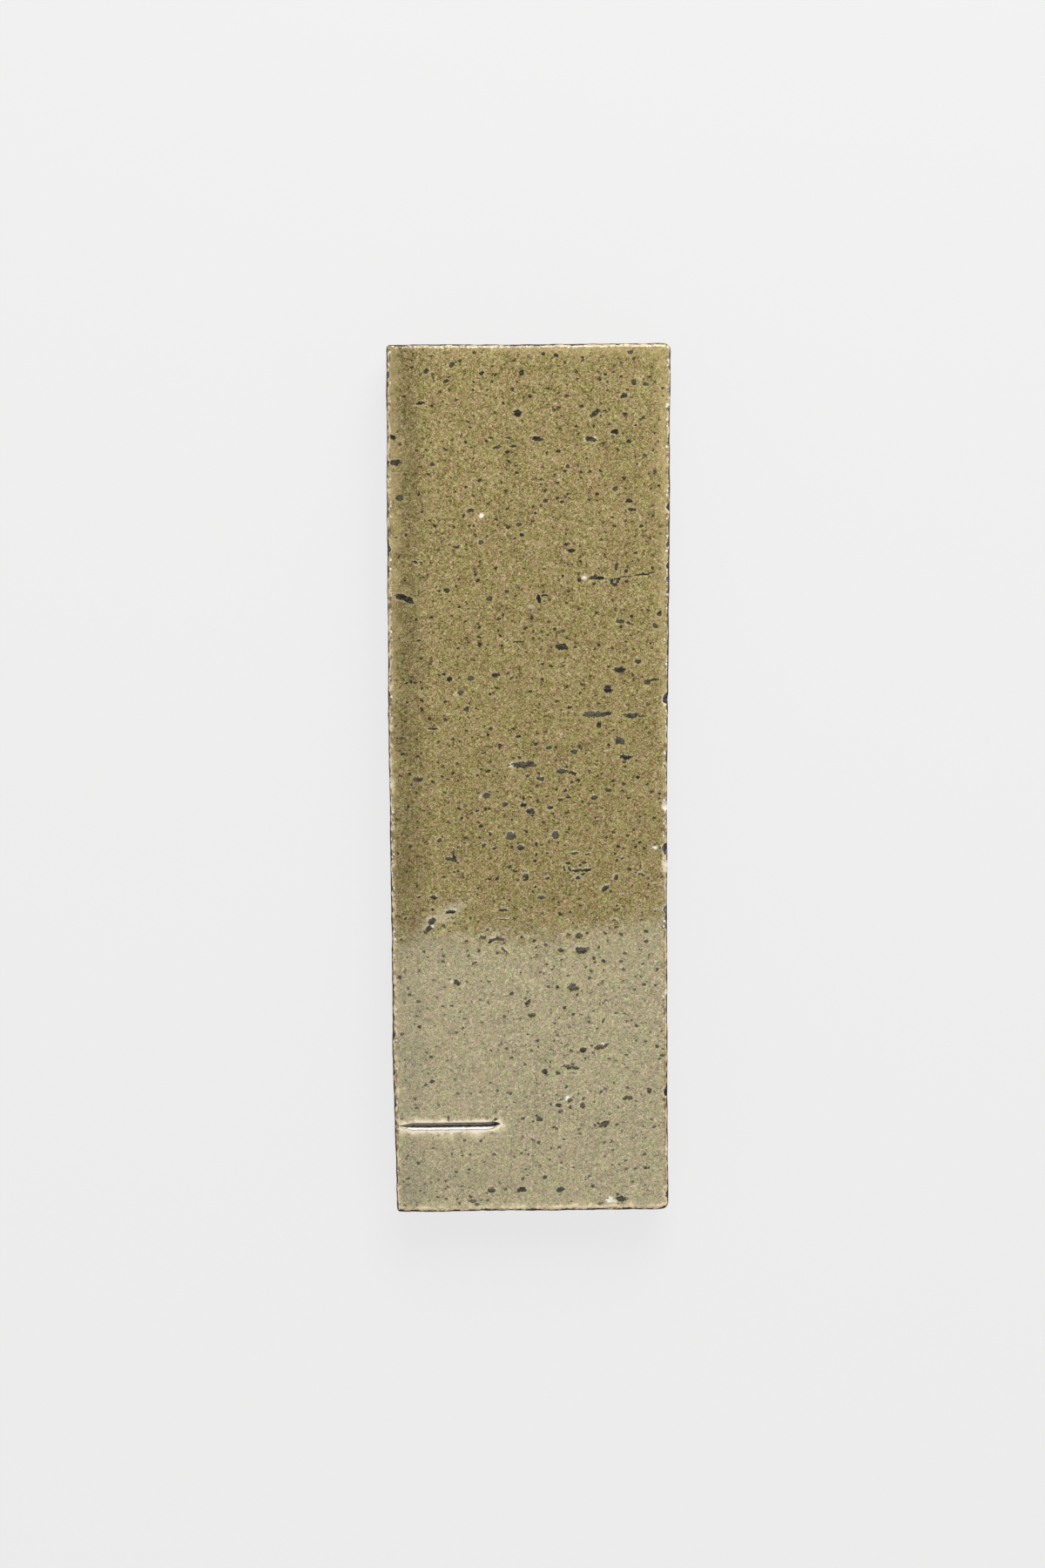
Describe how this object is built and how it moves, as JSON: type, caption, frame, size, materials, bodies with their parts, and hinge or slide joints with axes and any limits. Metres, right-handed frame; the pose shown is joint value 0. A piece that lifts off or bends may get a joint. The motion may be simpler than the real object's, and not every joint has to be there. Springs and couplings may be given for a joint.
{
  "type": "thin brick tile",
  "caption": "Slim glazed thin brick tile with a speckled olive face, rounded chipped arrises, a short blind slit near its foot and a flat back to bed on a wall or floor.",
  "frame": {"origin": "middle of the bounding box on the flat back, so the tile lies on z = 0 with its glazed face up", "axes": "+X across the tile, +Y along it towards the head (the end away from the slit), +Z out of the glazed face"},
  "size_m": [0.0654, 0.203, 0.013],
  "materials": {
    "glazed_brick": "glossy olive glaze with dark specks over fired clay"
  },
  "bodies": {
    "root": {"thin_brick_tile": "glazed_brick"}
  },
  "joints": []
}
